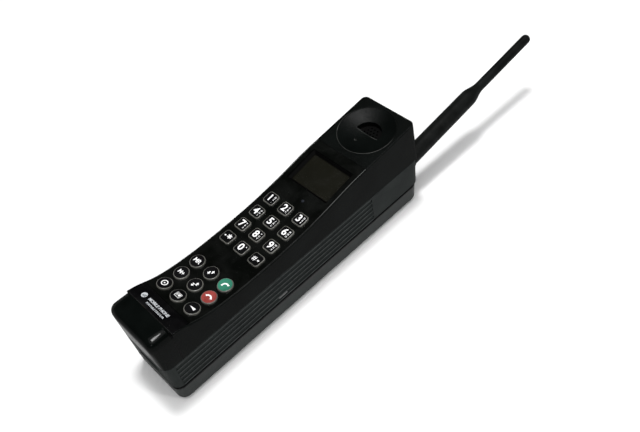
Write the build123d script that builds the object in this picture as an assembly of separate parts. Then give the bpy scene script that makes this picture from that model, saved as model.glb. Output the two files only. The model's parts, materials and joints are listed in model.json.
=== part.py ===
from build123d import *
import math
import os

# Early mobile brick phone with a slim battery and a screw-in antenna.
# Millimetres. +X is to the right seen from the keypad, +Y runs up to the earpiece and the
# antenna, +Z points out of the keypad. The origin is the middle of the battery's flat back.

# Driving sizes of the body. The ends are places along Y, given at two heights each.
BACK_WIDTH = 43.6
DRAFT = 1.05
WALL = 2.0
SEAM_Z = 35.3
PARTING_Z = 14.2
TOP_Z = 66.0
LOW_END = -101.3
LOW_END_AT_BACK = -99.2
FRONT_END_AT_FACE = 102.4
FRONT_END_AT_SEAM = 104.3
REAR_END_AT_SEAM = 104.2
REAR_END_AT_PARTING = 103.3
BATTERY_END_AT_PARTING = 102.8
BATTERY_END_AT_BACK = 101.6
LOW_CORNER = 5.4
FRONT_CORNER = 3.5
REAR_CORNER = 6.0
BATTERY_CORNER = 7.0
EDGE_ROUND = 0.8
SEAM_ROUND = 0.35
GAP = 0.2

# Side view of the face: a chin with an elliptic nose, a long hollow for the keys, a straight top
NOSE_Y = -97.0
NOSE_HEIGHT = 4.6
CREST_Z = 59.5
CHIN_Y = -87.5
CHIN_SLOPE = -0.12
CHIN_ROUND = 3.8
KINK_Y = 56.7
KINK_Z = 60.5
FACE_KNOTS = [(CHIN_Y, 59.1), (-72, 54.0), (-57, 50.9), (-38, 49.8), (-14, 50.4), (10, 52.5), (34, 56.6)]
TOP_SLOPE = (TOP_Z - KINK_Z) / (FRONT_END_AT_FACE - KINK_Y)
BEYOND_END = 110.0

# Face panel and label plate
PANEL_HALF = 20.2
PANEL_LOW = -76.6
PANEL_HIGH = 58.9
PANEL_THICK = 0.8
SKIN = 1.5

# Keys
KEY_X = 12.5
NUMBER_ROWS = [11.2, -0.5, -12.0, -23.7]
NUMBER_NAMES = [["1", "2", "3"], ["4", "5", "6"], ["7", "8", "9"], ["star", "0", "hash"]]
FUNCTION_ROWS = [-46.6, -58.0, -69.3]
FUNCTION_NAMES = [["recall", "up", "call"], ["store", "down", "end"], ["power", "message", "volume"]]
NUMBER_KEY = (8.5, 8.2)
NUMBER_ROUND = 1.9
FUNCTION_RADIUS = 4.7
KEY_PROUD = 1.1
KEY_TRAVEL = 1.0
FLANGE_EXTRA = 0.9
FLANGE_THICK = 0.8
STEM_RADIUS = 1.6

# Keypad mat and board
MAT_TOP = 44.6
MAT_THICK = 1.4
DOME_HEIGHT = 0.8
KEYPAD_BOARD_THICK = 1.2
BOARD_LOW = -80.5
KEYPAD_BOARD_HIGH = 57.0

# Display
WINDOW = (30.2, 21.0)
WINDOW_Y = 40.0
WINDOW_DEPTH = 2.4
RECESS_EXTRA = 3.4
FRAME_EXTRA = 6.4
STRIP_THICK = 1.6
STRIP_Y = WINDOW_Y + 1.2
STRIP_SPREAD = 10.7

# Status lamp between the display and the keys
LED_X = 4.2
LED_Y = 21.4

# Earpiece
EAR_Y = 81.4
DISH_RADIUS = 18.3
DISH_DEPTH = 3.8
BEAD_RADIUS = 0.35
SOUND_RADIUS = 9.0
GRILLE_DEPTH = DISH_DEPTH + 2.4
SPEAKER_RADIUS = 12.0
EAR_BLOCK = 9.8

# Microphone
MIC_Z = 46.0

# Antenna
ANTENNA_X = 11.6
ANTENNA_Y = 102.6
ANTENNA_Z = 26.35
ANTENNA_TILT = 8.8
SLEEVE_RADIUS = 5.8
SLEEVE_LENGTH = 62.5
CONE_LENGTH = 13.2
ROD_RADIUS = 3.25
ANTENNA_LENGTH = 129.6
ANTENNA_BOSS = 2.2
SEAL_THICK = 0.8
STUD_RADIUS = 2.6
STUD_LENGTH = 7.5

# Inner levels
FLOOR_Z = PARTING_Z + 0.4
FLOOR_THICK = 1.8
FLOOR_TOP = FLOOR_Z + FLOOR_THICK
CHASSIS_Z = 33.5
CHASSIS_THICK = 1.5
BOARD_HALF = 17.0
LOGIC_Z = 37.0
RF_Z = 27.0
BOARD_THICK = 1.4
SCREW_X = 16.9
SCREW_ROWS = [83.0, -90.0]

# Battery
BATTERY_TOP = 13.5
COVER_TOP = 14.3
BATTERY_WALL = 1.6
BACK_ROUND = 4.0
CELL_RADIUS = 5.1
CELL_LENGTH = 43.0
COVER_THICK = 1.4
HOOK_ROWS = [68.0, -62.0]
HOOK_X = 10.5
BATTERY_TRAVEL = 8.0

# Battery latch: a push bar at the side with a tooth in front of a lug on the battery's lid
LATCH_Y = -18.3
LATCH_WIDTH = 7.0
LATCH_Z = FLOOR_TOP + 0.9
LATCH_INNER_X = 12.0
LUG_X = 16.7
LUG_Y = LATCH_Y + LATCH_WIDTH / 2 + 1.2
LUG_TOP = FLOOR_TOP + 0.3
TOOTH_THICK = 0.4

# Contacts in the floor and the connector in the bottom end
CONTACTS = 4
CONTACT_PITCH = 2.6
CONTACT_Y = -50.0
CONNECTOR = (17.0, 7.0, 6.0)
CONNECTOR_Z = 22.5
CONNECTOR_PINS = 8

# Ribbed band on the rear housing
RIB_LOW = -94.5
RIB_HIGH = 60.0
RIB_PITCH = 3.65
RIB_FIRST = 17.45
RIB_COUNT = 5
RIB_DEPTH = 0.6
GROOVE_WIDTH = 2.6


def block(width, length, height, at):
    """A box centred on at in X and Y that rises from at in Z."""
    return Pos(at[0], at[1], at[2] + height / 2) * Box(width, length, height)


def post(radius, height, at):
    """An upright cylinder that rises from at."""
    return Pos(at[0], at[1], at[2] + height / 2) * Cylinder(radius, height)


def group(solids):
    """Separate solids kept in one node."""
    return Compound(children=list(solids))


def half_width(z):
    """Half the body's width at a height, with the side draft."""
    return BACK_WIDTH / 2 - (z - PARTING_Z) * math.tan(math.radians(DRAFT))


def low_end(z):
    """Where the bottom end lies at a height: it leans in towards the back."""
    return LOW_END_AT_BACK + (LOW_END - LOW_END_AT_BACK) * z / (CREST_Z - NOSE_HEIGHT)


def body_block(z_low, z_high, end_low, end_high, corner, inset=0.0):
    """A drafted block with rounded upright corners, between two heights and their top ends."""
    sections = []
    for z, end in ((z_low, end_low), (z_high, end_high)):
        width = 2 * (half_width(z) - inset)
        length = end - low_end(z) - 2 * inset
        outline = Rectangle(width, length)
        corners = outline.vertices().sort_by(Axis.Y)
        outline = fillet(corners[:2], LOW_CORNER - inset * 0.7)
        corners = outline.vertices().sort_by(Axis.Y)
        outline = fillet(corners[-2:], corner - inset * 0.7)
        sections.append(Pos(0, (end + low_end(z)) / 2, z) * outline)
    return loft(sections, ruled=True)


def front_block(z_low, inset=0.0):
    """The front housing's outer form, taller than its face."""
    lean = (FRONT_END_AT_FACE - FRONT_END_AT_SEAM) / (TOP_Z - SEAM_Z)
    ends = [FRONT_END_AT_SEAM + (z - SEAM_Z) * lean for z in (z_low, TOP_Z + 10)]
    return body_block(z_low, TOP_Z + 10, ends[0], ends[1], FRONT_CORNER, inset)


def rear_block(z_low, z_high, inset=0.0):
    """The rear housing's outer form between two heights."""
    lean = (REAR_END_AT_SEAM - REAR_END_AT_PARTING) / (SEAM_Z - PARTING_Z)
    ends = [REAR_END_AT_PARTING + (z - PARTING_Z) * lean for z in (z_low, z_high)]
    return body_block(z_low, z_high, ends[0], ends[1], REAR_CORNER, inset)


def battery_block(z_low, z_high, inset=0.0):
    """The battery's outer form between two heights."""
    lean = (BATTERY_END_AT_PARTING - BATTERY_END_AT_BACK) / BATTERY_TOP
    ends = [BATTERY_END_AT_BACK + z * lean for z in (z_low, z_high)]
    return body_block(z_low, z_high, ends[0], ends[1], BATTERY_CORNER, inset)


def face_line(drop=0.0):
    """The face in side view from the chin line to the top end, lowered by drop."""
    knots = [(y, z - drop) for y, z in FACE_KNOTS] + [(KINK_Y, KINK_Z - drop)]
    return Spline(*knots, tangents=[(1, CHIN_SLOPE), (1, TOP_SLOPE)])


FACE_SPLINE = face_line()


def face_at(y):
    """Height and slope of the face at a place along the body."""
    if y >= KINK_Y:
        return KINK_Z + (y - KINK_Y) * TOP_SLOPE, TOP_SLOPE
    low, high = 0.0, 1.0
    for _ in range(40):
        middle = (low + high) / 2
        if (FACE_SPLINE @ middle).X < y:
            low = middle
        else:
            high = middle
    tangent = FACE_SPLINE % low
    return (FACE_SPLINE @ low).Y, tangent.Y / tangent.X


def on_face(y, x=0.0):
    """A placement on the face: local Z is the face's outward normal, local Y runs up the body."""
    z, slope = face_at(y)
    return Location((x, y, z), (math.degrees(math.atan(slope)), 0, 0))


def side_slab(lines, half=40.0):
    """Extrudes a closed side view, drawn in Y and Z, across the body's width."""
    return extrude(Plane.YZ.offset(-half) * make_face(lines), 2 * half)


def under_face(low_y, high_y, bottom, drop=0.0):
    """What lies under the hollow face between two places and above a level."""
    line = face_line(drop)
    start, end = line @ 0, line @ 1
    z_end = face_at(BEYOND_END)[0] - drop
    lines = [line, Line((end.X, end.Y), (BEYOND_END, z_end))]
    lines += [Line((BEYOND_END, z_end), (BEYOND_END, bottom))]
    lines += [Line((BEYOND_END, bottom), (start.X, bottom)), Line((start.X, bottom), (start.X, start.Y))]
    length = high_y - low_y
    return side_slab(lines) & block(90, length, 120, (0, (low_y + high_y) / 2, 0))


def chin_block(bottom, inset=0.0):
    """The chin below the chin line, whose nose is a quarter of an ellipse."""
    crest = CREST_Z - inset
    spring = CREST_Z - NOSE_HEIGHT
    nose_y = LOW_END + inset
    chin_z = face_at(CHIN_Y)[0] - inset
    nose = EllipticalCenterArc((NOSE_Y, spring), NOSE_Y - nose_y, crest - spring, start_angle=90, arc_size=90)
    slope = Spline((NOSE_Y, crest), (CHIN_Y, chin_z), tangents=[(1, 0), (1, CHIN_SLOPE)])
    lines = [nose, slope, Line((CHIN_Y, chin_z), (CHIN_Y, bottom))]
    lines += [Line((CHIN_Y, bottom), (nose_y, bottom)), Line((nose_y, bottom), (nose_y, spring))]
    right = extrude(Plane.YZ * make_face(lines), 40)
    return right + mirror(right, Plane.YZ)


def grid_places():
    """Every key as its name, its place and whether it is a square number key."""
    places = []
    for y, names in zip(NUMBER_ROWS, NUMBER_NAMES):
        places += [("key_" + name, (i - 1) * KEY_X, y, True) for i, name in enumerate(names)]
    for y, names in zip(FUNCTION_ROWS, FUNCTION_NAMES):
        places += [("key_" + name, (i - 1) * KEY_X, y, False) for i, name in enumerate(names)]
    return places


def key_outline(square, grow=0.0):
    """Plan of a key cap, grown all round."""
    if square:
        return RectangleRounded(NUMBER_KEY[0] + 2 * grow, NUMBER_KEY[1] + 2 * grow, NUMBER_ROUND + grow)
    return Circle(FUNCTION_RADIUS + grow)


def key_holes(grow, depth):
    """Cutters for all the key holes, square to the face."""
    cutters = []
    for _, x, y, square in grid_places():
        hole = extrude(key_outline(square, grow), depth, both=True)
        cutters.append(on_face(y, x) * hole)
    return cutters


def stem_length(y):
    """Depth of a dome's top under the face, measured square to the face."""
    z, slope = face_at(y)
    return (z - MAT_TOP - DOME_HEIGHT) * math.sqrt(1 + slope * slope)


def key(x, y, square):
    """One key: a softened cap, a flange that keeps it in and a stem down to its dome."""
    flange_top = PANEL_THICK + SKIN + 0.15
    cap = extrude(Pos(0, 0, -flange_top - 0.1) * key_outline(square), flange_top + 0.1 + KEY_PROUD)
    cap = fillet(cap.faces().sort_by(Axis.Z)[-1].edges(), 0.45)
    flange = Pos(0, 0, -flange_top - FLANGE_THICK) * extrude(key_outline(square, FLANGE_EXTRA), FLANGE_THICK)
    stem_end = stem_length(y) - KEY_TRAVEL - 0.15
    stem = Pos(0, 0, -stem_end) * extrude(Circle(STEM_RADIUS), stem_end - flange_top)
    return on_face(y, x) * (cap + flange + stem)


def keypad_mat():
    """A silicone sheet with one dome under each key, square to that key."""
    length = NUMBER_ROWS[0] - FUNCTION_ROWS[-1] + 16
    middle = (FUNCTION_ROWS[-1] + NUMBER_ROWS[0]) / 2
    mat = block(2 * BOARD_HALF, length, MAT_THICK, (0, middle, MAT_TOP - MAT_THICK))
    for _, x, y, _ in grid_places():
        top = stem_length(y)
        dome = Pos(0, 0, -top) * extrude(Circle(STEM_RADIUS + 0.6), -(DOME_HEIGHT + MAT_THICK / 2))
        mat += on_face(y, x) * dome
    return mat


def keypad_board():
    """The keypad's circuit board."""
    length = KEYPAD_BOARD_HIGH - BOARD_LOW
    bottom = MAT_TOP - MAT_THICK - KEYPAD_BOARD_THICK
    return block(2 * BOARD_HALF, length, KEYPAD_BOARD_THICK, (0, BOARD_LOW + length / 2, bottom))


def face_panel():
    """The glossy curved panel over the keys and the display."""
    low = PANEL_LOW + GAP
    sheet = under_face(low, PANEL_HIGH, 20) - under_face(low, PANEL_HIGH, 10, PANEL_THICK)
    panel = sheet & block(2 * PANEL_HALF, 300, 120, (0, 0, 0))
    for cutter in key_holes(GAP, PANEL_THICK * 2):
        panel -= cutter
    panel -= display_cut(WINDOW[0] + RECESS_EXTRA, WINDOW[1] + RECESS_EXTRA, 6)
    panel -= led_cut(1.1)
    return panel


def label_plate():
    """The plain strip between the panel and the chin line."""
    high = PANEL_LOW - GAP
    sheet = under_face(CHIN_Y + 0.3, high, 20) - under_face(CHIN_Y, high + 1, 10, PANEL_THICK * 0.8)
    return sheet & block(2 * PANEL_HALF, 300, 120, (0, 0, 0))


def display_cut(width, length, depth):
    """A cutter along the display's own axis."""
    return on_face(WINDOW_Y) * Pos(0, 0, -depth / 2) * Box(width, length, depth + 4)


def display_layer(width, length, top, thick):
    """A flat layer of the display, at a depth under the face."""
    return on_face(WINDOW_Y) * Pos(0, 0, -top - thick / 2) * Box(width, length, thick)


def display_bezel():
    """A black frame whose walls slope in from the panel to the display window."""
    top, bottom = PANEL_THICK + 0.25, WINDOW_DEPTH
    frame = display_layer(WINDOW[0] + FRAME_EXTRA, WINDOW[1] + FRAME_EXTRA, top, bottom - top)
    wide = RectangleRounded(WINDOW[0] + RECESS_EXTRA, WINDOW[1] + RECESS_EXTRA, 1.2)
    narrow = RectangleRounded(WINDOW[0], WINDOW[1], 1.0)
    funnel = loft([Pos(0, 0, -top + 0.01) * wide, Pos(0, 0, -bottom - 0.01) * narrow])
    frame -= on_face(WINDOW_Y) * funnel
    return frame & under_face(0, PANEL_HIGH, 20, PANEL_THICK + 0.08)


def display_window():
    """The clear window on the bezel's foot."""
    return display_layer(WINDOW[0] + 3.2, WINDOW[1] + 3.2, WINDOW_DEPTH, 0.9)


def lcd_glass():
    """The liquid crystal cell."""
    return display_layer(WINDOW[0] + 3.0, WINDOW[1] + 3.0, WINDOW_DEPTH + 0.95, 1.8)


def light_guide():
    """The clear block that spreads the lamps' light behind the cell."""
    return display_layer(WINDOW[0] + 1.0, WINDOW[1] - 2.4, WINDOW_DEPTH + 2.85, 1.6)


def lcd_frame():
    """The holder that stands on the keypad board and carries the display's layers."""
    board_top = MAT_TOP - MAT_THICK
    width, length = WINDOW[0] + 5.0, WINDOW[1] + 6.4
    body = block(width, length, 16, (0, WINDOW_Y + 0.6, board_top))
    body -= display_layer(60, 60, -20, 20 + WINDOW_DEPTH + 0.05)
    body -= display_layer(WINDOW[0] + 3.4, WINDOW[1] + 3.4, WINDOW_DEPTH, 2.8)
    body -= display_layer(WINDOW[0] + 1.4, WINDOW[1] - 1.8, WINDOW_DEPTH, 12)
    for side in (-1, 1):
        y = STRIP_Y + side * STRIP_SPREAD
        body -= block(WINDOW[0] - 1.8, STRIP_THICK + 0.2, 14, (0, y, board_top - 1))
    return body


def elastomer_strips():
    """Two conductive rubber strips from the cell down to the keypad board."""
    board_top = MAT_TOP - MAT_THICK
    strips = []
    for side in (-1, 1):
        strip = block(WINDOW[0] - 2, STRIP_THICK, 14, (0, STRIP_Y + side * STRIP_SPREAD, board_top))
        strips.append(strip - display_layer(60, 60, -20, 20 + WINDOW_DEPTH + 2.8))
    return strips


def led_cut(radius, depth=8.0):
    """A cutter for the status lamp between the display and the keys."""
    return on_face(LED_Y, LED_X) * Cylinder(radius, depth)


def status_led():
    """A small light pipe with a collar under the housing skin."""
    pipe = Pos(0, 0, -1.55) * Cylinder(0.95, 3.3)
    collar = Pos(0, 0, -3.1) * Cylinder(1.7, 1.0)
    return on_face(LED_Y, LED_X) * (pipe + collar)


def dish_tool():
    """A sphere that cuts the shallow bowl of the earpiece."""
    radius = (DISH_RADIUS ** 2 + DISH_DEPTH ** 2) / (2 * DISH_DEPTH)
    return on_face(EAR_Y) * Pos(0, 0, radius - DISH_DEPTH) * Sphere(radius)


def dish_bead():
    """A thin raised ring round the earpiece bowl."""
    return on_face(EAR_Y) * Torus(DISH_RADIUS + 0.2, BEAD_RADIUS)


def half_moon(radius, low, high):
    """A half disc above the earpiece's centre line, between two depths."""
    disc = Pos(0, 0, (low + high) / 2) * Cylinder(radius, high - low)
    upper = Pos(0, radius, (low + high) / 2) * Box(4 * radius, 2 * radius, high - low)
    return on_face(EAR_Y) * (disc & upper)


def front_housing():
    """The front shell: hollow face, chin, earpiece dish, screw bosses."""
    shape = under_face(CHIN_Y, BEYOND_END, SEAM_Z) & front_block(SEAM_Z)
    rim = [e for e in shape.edges() if e.center().Y > CHIN_Y + 1]
    rim = [e for e in rim if e.center().Z > face_at(e.center().Y)[0] - 1.2]
    shape = fillet(rim, EDGE_ROUND)
    chin = chin_block(SEAM_Z) & front_block(SEAM_Z)
    nose = [e for e in chin.edges() if e.center().Z > CREST_Z - NOSE_HEIGHT and e.center().Y < CHIN_Y - 0.5]
    nose = [e for e in nose if abs(e.center().X) > 15]
    chin = fillet(nose, CHIN_ROUND)
    shape += chin
    shape = fillet(shape.faces().sort_by(Axis.Z)[0].edges(), SEAM_ROUND)
    drop = PANEL_THICK + SKIN
    cavity = under_face(CHIN_Y, BEYOND_END, SEAM_Z - 1, drop) + chin_block(SEAM_Z - 1, drop + 0.6)
    cavity &= front_block(SEAM_Z - 1, WALL)
    cavity -= on_face(EAR_Y) * Cylinder(DISH_RADIUS + 1, 2 * EAR_BLOCK)
    shape -= cavity
    high = PANEL_HIGH + GAP
    pocket = under_face(PANEL_LOW, high, 20, -5) - under_face(PANEL_LOW, high, 10, PANEL_THICK)
    shape -= pocket & block(2 * (PANEL_HALF + 0.1), 300, 120, (0, 0, 0))
    label = under_face(CHIN_Y + 0.2, PANEL_LOW - 0.1, 20, -5)
    label -= under_face(CHIN_Y, PANEL_LOW, 10, PANEL_THICK * 0.8)
    shape -= label & block(2 * (PANEL_HALF + 0.1), 300, 120, (0, 0, 0))
    for cutter in key_holes(GAP, 8):
        shape -= cutter
    shape -= display_cut(WINDOW[0] + FRAME_EXTRA + 0.4, WINDOW[1] + FRAME_EXTRA + 0.4, 10)
    shape -= led_cut(1.1)
    shape -= dish_tool()
    shape += dish_bead()
    shape -= half_moon(SOUND_RADIUS, -EAR_BLOCK - 1, 0)
    shape -= on_face(EAR_Y) * Pos(-2.8, -7.6, -DISH_DEPTH) * Cylinder(0.5, 3)
    for side in (-1, 1):
        for y in SCREW_ROWS:
            shape += post(2.7, 12, (side * SCREW_X, y, SEAM_Z))
            shape -= post(1.15, 10.5, (side * SCREW_X, y, SEAM_Z - 0.5))
    shape -= microphone_slots()
    return shape


def microphone_slots():
    """Three small sound holes in the bottom end."""
    slots = Pos(-3, 0, 0) * Cylinder(0.6, 8) + Cylinder(0.6, 8) + Pos(3, 0, 0) * Cylinder(0.6, 8)
    return Location((0, LOW_END, MIC_Z), (90, 0, 0)) * slots


def microphone():
    """The microphone capsule, facing the bottom end."""
    return Location((0, LOW_END + WALL + 5.2, MIC_Z), (90, 0, 0)) * Cylinder(4.0, 4.0)


def microphone_boot():
    """A rubber cup round the microphone capsule."""
    cup = Pos(0, 0, 0.6) * Cylinder(5.2, 5.6) - Pos(0, 0, -0.4) * Cylinder(4.0, 5.2) - Cylinder(3.6, 20)
    return Location((0, LOW_END + WALL + 4.8, MIC_Z), (90, 0, 0)) * cup


def earpiece_grille():
    """A half-moon plate with rows of sound holes, in the dish's opening."""
    plate = half_moon(SOUND_RADIUS - 0.1, -GRILLE_DEPTH - 1.0, -GRILLE_DEPTH)
    for row in range(3):
        count = 5 - row
        for i in range(count):
            x = (i - (count - 1) / 2) * 2.4
            hole = Pos(x, 1.8 + row * 2.2, -GRILLE_DEPTH - 0.5) * Cylinder(0.55, 3)
            plate -= on_face(EAR_Y) * hole
    return plate


def earpiece_gasket():
    """A foam ring between the housing and the speaker."""
    ring = Cylinder(SPEAKER_RADIUS, 1.4) - Cylinder(SPEAKER_RADIUS - 2.6, 2)
    return on_face(EAR_Y) * Pos(0, 0, -EAR_BLOCK - 0.75) * ring


def earpiece_speaker():
    """The earpiece speaker: basket, domed front and magnet."""
    basket = Cylinder(SPEAKER_RADIUS, 3.0)
    magnet = Pos(0, 0, -3.0) * Cylinder(7.5, 3.0)
    return on_face(EAR_Y) * Pos(0, 0, -EAR_BLOCK - 3.0) * (basket + magnet)


def rib_grooves(side):
    """Shallow rounded grooves that leave long ribs on one side of the rear housing."""
    radius = (GROOVE_WIDTH ** 2 / 4 + RIB_DEPTH ** 2) / (2 * RIB_DEPTH)
    cutters = []
    for i in range(RIB_COUNT):
        z = RIB_FIRST + i * RIB_PITCH
        x = side * (half_width(z) + radius - RIB_DEPTH)
        place = Location((x, (RIB_LOW + RIB_HIGH) / 2, z), (90, 0, 0))
        cutters.append(place * Cylinder(radius, RIB_HIGH - RIB_LOW))
    return cutters


def antenna_place(along=0.0):
    """A placement on the antenna's axis, measured from the top end: local Z runs out along it."""
    tilt = math.radians(ANTENNA_TILT)
    y = ANTENNA_Y + along * math.cos(tilt)
    z = ANTENNA_Z + along * math.sin(tilt)
    return Location((ANTENNA_X, y, z), (ANTENNA_TILT - 90, 0, 0))


def rear_housing():
    """The rear shell: ribbed sides, floor over the battery, screw bosses, antenna boss."""
    shape = rear_block(FLOOR_Z, SEAM_Z)
    shape = fillet(shape.faces().sort_by(Axis.Z)[0].edges(), 0.5)
    shape = fillet(shape.faces().sort_by(Axis.Z)[-1].edges(), SEAM_ROUND)
    cavity = rear_block(FLOOR_TOP, SEAM_Z + 1, WALL)
    shape -= cavity
    shape += antenna_place(-7.0) * Pos(0, 0, (7.0 + ANTENNA_BOSS) / 2) * Cylinder(6.4, 7.0 + ANTENNA_BOSS)
    shape -= antenna_place(-9.0) * Pos(0, 0, 7.0) * Cylinder(4.55, 14.0)
    for side in (-1, 1):
        for cutter in rib_grooves(side):
            shape -= cutter
        for y in SCREW_ROWS:
            shape += post(2.9, CHASSIS_Z - FLOOR_TOP, (side * SCREW_X, y, FLOOR_TOP))
    for side in (-1, 1):
        for y in SCREW_ROWS:
            shape -= post(1.25, 30, (side * SCREW_X, y, FLOOR_Z - 1))
            shape -= post(2.7, 2.4, (side * SCREW_X, y, FLOOR_Z - 1))
        for y in HOOK_ROWS:
            length = BATTERY_TRAVEL + 5.0
            shape -= block(3.2, length, 8, (side * HOOK_X, y - BATTERY_TRAVEL / 2, FLOOR_Z - 3))
            shape -= block(6.0, 5.0, 8, (side * HOOK_X, y - BATTERY_TRAVEL, FLOOR_Z - 3))
    shape -= block(2.4, 12.4, 8, (LUG_X, LUG_Y - 5, FLOOR_Z - 3))
    shape -= block(12, LATCH_WIDTH + 2 * GAP, 1.8, (BACK_WIDTH / 2, LATCH_Y, LATCH_Z - 0.2))
    shape += block(2.0, 8.0, 3.4, (6.6, LATCH_Y, FLOOR_TOP))
    shape -= block(12.4, 6.4, 12, (0, CONTACT_Y, FLOOR_Z - 3))
    shape -= block(CONNECTOR[0] + 0.4, 14, CONNECTOR[2] + 0.4, (0, LOW_END, CONNECTOR_Z - 0.2))
    return shape


def battery_latch():
    """A push bar through the housing side, with a tooth in front of the battery's lug."""
    outer = half_width(LATCH_Z) - 0.1
    length = outer - LATCH_INNER_X
    bar = block(length, LATCH_WIDTH, 1.4, (outer - length / 2, LATCH_Y, LATCH_Z))
    bar = fillet(bar.edges().filter_by(Axis.Z).sort_by(Axis.X)[-2:], 0.6)
    tooth_y = LATCH_Y + LATCH_WIDTH / 2 - 1.0
    return bar + block(1.7, 2.0, TOOTH_THICK + 0.1, (LUG_X, tooth_y, LATCH_Z - TOOTH_THICK))


def latch_spring():
    """A bent leaf that leans from the housing's rib towards the push bar."""
    bends = [(7.9, -2.6), (9.3, -1.3), (8.2, 0.0), (9.5, 1.3), (8.2, 2.6)]
    pieces = []
    for start, end in zip(bends, bends[1:]):
        middle = ((start[0] + end[0]) / 2, LATCH_Y + (start[1] + end[1]) / 2)
        angle = math.degrees(math.atan2(end[1] - start[1], end[0] - start[0]))
        length = math.dist(start, end) + 0.3
        pieces.append(Pos(middle[0], middle[1], FLOOR_TOP + 1.5) * Rot(0, 0, angle) * Box(length, 0.3, 2.0))
    return pieces[0] + pieces[1:]


def battery_outer():
    """The battery pack's outside, with a well rounded back."""
    shape = battery_block(0, BATTERY_TOP)
    shape = fillet(shape.faces().sort_by(Axis.Z)[-1].edges(), 0.5)
    return fillet(shape.faces().sort_by(Axis.Z)[0].edges(), BACK_ROUND)


def battery_case():
    """The battery's tub: back, sides and ends."""
    shape = battery_outer()
    inner = battery_block(BATTERY_WALL, BATTERY_TOP + 1, BATTERY_WALL)
    inner = fillet(inner.faces().sort_by(Axis.Z)[0].edges(), 2.6)
    return shape - inner


def battery_cover():
    """The battery's lid, with four hooks and the lug that the latch holds."""
    inset = BATTERY_WALL + 0.1
    lid = battery_block(COVER_TOP - COVER_THICK, COVER_TOP, inset)
    for side in (-1, 1):
        for y in HOOK_ROWS:
            lid += block(2.6, 4.0, FLOOR_TOP + 0.5 - COVER_TOP, (side * HOOK_X, y, COVER_TOP))
            lid += block(5.2, 4.0, 1.4, (side * HOOK_X, y, FLOOR_TOP + 0.3))
    lid += block(1.5, 2.0, LUG_TOP - COVER_TOP, (LUG_X, LUG_Y, COVER_TOP))
    return lid - block(11.0, 6.0, 0.5, (0, CONTACT_Y, COVER_TOP - 0.4))


def battery_cells():
    """Twelve cylindrical cells, three across and four along."""
    cells = []
    for across in (-1, 0, 1):
        for along in range(4):
            x = across * (2 * CELL_RADIUS + 1.0)
            y = (along - 1.5) * (CELL_LENGTH + 1.5)
            place = Location((x, y, BATTERY_WALL + 0.1 + CELL_RADIUS), (90, 0, 0))
            cells.append(place * Cylinder(CELL_RADIUS, CELL_LENGTH))
    return cells


def contact_places():
    """Where the contacts lie across the phone."""
    return [(i - (CONTACTS - 1) / 2) * CONTACT_PITCH for i in range(CONTACTS)]


def battery_contacts():
    """Flat plated pads sunk in the battery's lid."""
    return [block(1.8, 5.0, 0.25, (x, CONTACT_Y, COVER_TOP - 0.4)) for x in contact_places()]


def contact_block():
    """The phone's contact block, set in the floor."""
    body = block(12.0, 6.0, 5.0, (0, CONTACT_Y, FLOOR_Z + 0.1))
    body += block(15.0, 9.0, 1.5, (0, CONTACT_Y, FLOOR_TOP + 0.05))
    for x in contact_places():
        body -= block(1.4, 3.0, 20, (x, CONTACT_Y, 5))
    return body


def contact_springs():
    """Four sprung contact blades in the block, with rounded noses towards the battery."""
    blades = []
    centre_z = COVER_TOP + 1.25
    for x in contact_places():
        nose = Location((x, CONTACT_Y, centre_z), (0, 90, 0)) * Cylinder(1.1, 1.0)
        blades.append(nose + block(1.0, 0.5, RF_Z - 0.05 - centre_z, (x, CONTACT_Y, centre_z)))
    return blades


def chassis():
    """The cast frame between the two housings that carries both boards."""
    plate = rear_block(CHASSIS_Z, CHASSIS_Z + CHASSIS_THICK, WALL + 0.3)
    for side in (-1, 1):
        for y in (-72.0, 0.0, 70.0):
            plate += post(2.2, LOGIC_Z - CHASSIS_Z, (side * 13.5, y, CHASSIS_Z))
            plate += post(2.2, CHASSIS_Z - RF_Z - BOARD_THICK + 0.1, (side * 13.5, y, RF_Z + BOARD_THICK))
        for y in SCREW_ROWS:
            plate -= post(1.5, 10, (side * SCREW_X, y, CHASSIS_Z - 5))
    for y in (-36.0, 35.0):
        plate -= block(18, 34, 10, (0, y, CHASSIS_Z - 4))
    return plate


def logic_board():
    """The control board, on the front side of the chassis."""
    return block(2 * BOARD_HALF, 156, BOARD_THICK, (0, -2, LOGIC_Z))


def logic_chips():
    """The control board's chips and the header that joins it to the keypad board."""
    top = LOGIC_Z + BOARD_THICK
    sizes = [(14, 14, 40), (12, 18, 12), (9, 9, -10), (16, 10, -34), (8, 12, -56)]
    chips = [block(width, length, 2.4, (0, y, top)) for width, length, y in sizes]
    header = block(22, 5, MAT_TOP - MAT_THICK - KEYPAD_BOARD_THICK - top, (0, -74, top))
    return chips + [header]


def rf_board():
    """The radio board, on the back of the chassis."""
    return block(2 * BOARD_HALF, 148, BOARD_THICK, (0, -6, RF_Z))


def shield_can():
    """The pressed can over the radio board's back."""
    return block(30, 70, 6.0, (0, 6, RF_Z - 6.0)) - block(29, 69, 5.5, (0, 6, RF_Z - 5.5))


def rf_modules():
    """The duplex filter and the power amplifier on the radio board."""
    top = RF_Z + BOARD_THICK
    duplexer = block(16, 30, 4.6, (0, 46, top))
    amplifier = block(14, 22, 4.0, (0, -40, top))
    return [duplexer, amplifier]


def ringer():
    """The alert transducer on the floor."""
    return post(7.5, 5.0, (0, 52, FLOOR_TOP))


def antenna_socket():
    """The threaded metal bush in the top end."""
    length = 8.0 + ANTENNA_BOSS
    bush = Cylinder(4.5, length) - Cylinder(STUD_RADIUS + 0.05, 20)
    return antenna_place(-8.0) * Pos(0, 0, length / 2) * bush


def antenna_seal():
    """A thin rubber washer under the antenna."""
    washer = Cylinder(4.9, SEAL_THICK) - Cylinder(STUD_RADIUS + 0.1, 2)
    return antenna_place(ANTENNA_BOSS + 0.05) * Pos(0, 0, SEAL_THICK / 2) * washer


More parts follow.
